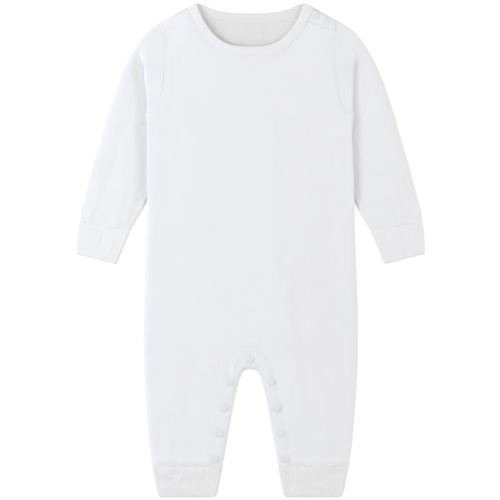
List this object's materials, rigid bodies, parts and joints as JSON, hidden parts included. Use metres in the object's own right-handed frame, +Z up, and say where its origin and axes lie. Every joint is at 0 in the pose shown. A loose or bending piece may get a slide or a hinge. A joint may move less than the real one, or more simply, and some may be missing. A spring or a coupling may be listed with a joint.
{
  "type": "baby romper",
  "caption": "Long-sleeved, footless baby romper laid flat on its back, with ribbed neckband and cuffs, a snap placket along both inseams and a snap closure on one shoulder.",
  "frame": {"origin": "on the surface the garment lies on, under the middle of its bounding box", "axes": "+X towards the wearer's left, +Y from the ankles to the neck, +Z up, out of the chest of the garment lying on its back"},
  "size_m": [0.4248, 0.6002, 0.0083],
  "materials": {
    "jersey": "matt interlock jersey",
    "rib": "matt 1x1 rib knit, folded double",
    "snap_tape": "matt jersey facing",
    "resin_cap": "satin",
    "resin_stud": "matt"
  },
  "bodies": {
    "root": {"front_body": "jersey", "back_body": "jersey", "sleeve_left": "jersey", "sleeve_right": "jersey", "neckband": "rib", "wrist_cuff_left": "rib", "wrist_cuff_right": "rib", "ankle_cuff_left": "rib", "ankle_cuff_right": "rib", "inseam_placket_front": "snap_tape", "inseam_placket_back": "snap_tape", "shoulder_placket": "snap_tape", "inseam_snap_cap_1": "resin_cap", "inseam_snap_joint_1": "resin_stud", "inseam_snap_back_1": "resin_cap", "inseam_snap_cap_2": "resin_cap", "inseam_snap_joint_2": "resin_stud", "inseam_snap_back_2": "resin_cap", "inseam_snap_cap_3": "resin_cap", "inseam_snap_joint_3": "resin_stud", "inseam_snap_back_3": "resin_cap", "inseam_snap_cap_4": "resin_cap", "inseam_snap_joint_4": "resin_stud", "inseam_snap_back_4": "resin_cap", "inseam_snap_cap_5": "resin_cap", "inseam_snap_joint_5": "resin_stud", "inseam_snap_back_5": "resin_cap", "inseam_snap_cap_6": "resin_cap", "inseam_snap_joint_6": "resin_stud", "inseam_snap_back_6": "resin_cap", "inseam_snap_cap_7": "resin_cap", "inseam_snap_joint_7": "resin_stud", "inseam_snap_back_7": "resin_cap", "inseam_snap_cap_8": "resin_cap", "inseam_snap_joint_8": "resin_stud", "inseam_snap_back_8": "resin_cap", "inseam_snap_cap_9": "resin_cap", "inseam_snap_joint_9": "resin_stud", "inseam_snap_back_9": "resin_cap", "shoulder_snap_cap_1": "resin_cap", "shoulder_snap_cap_2": "resin_cap"}
  },
  "joints": []
}
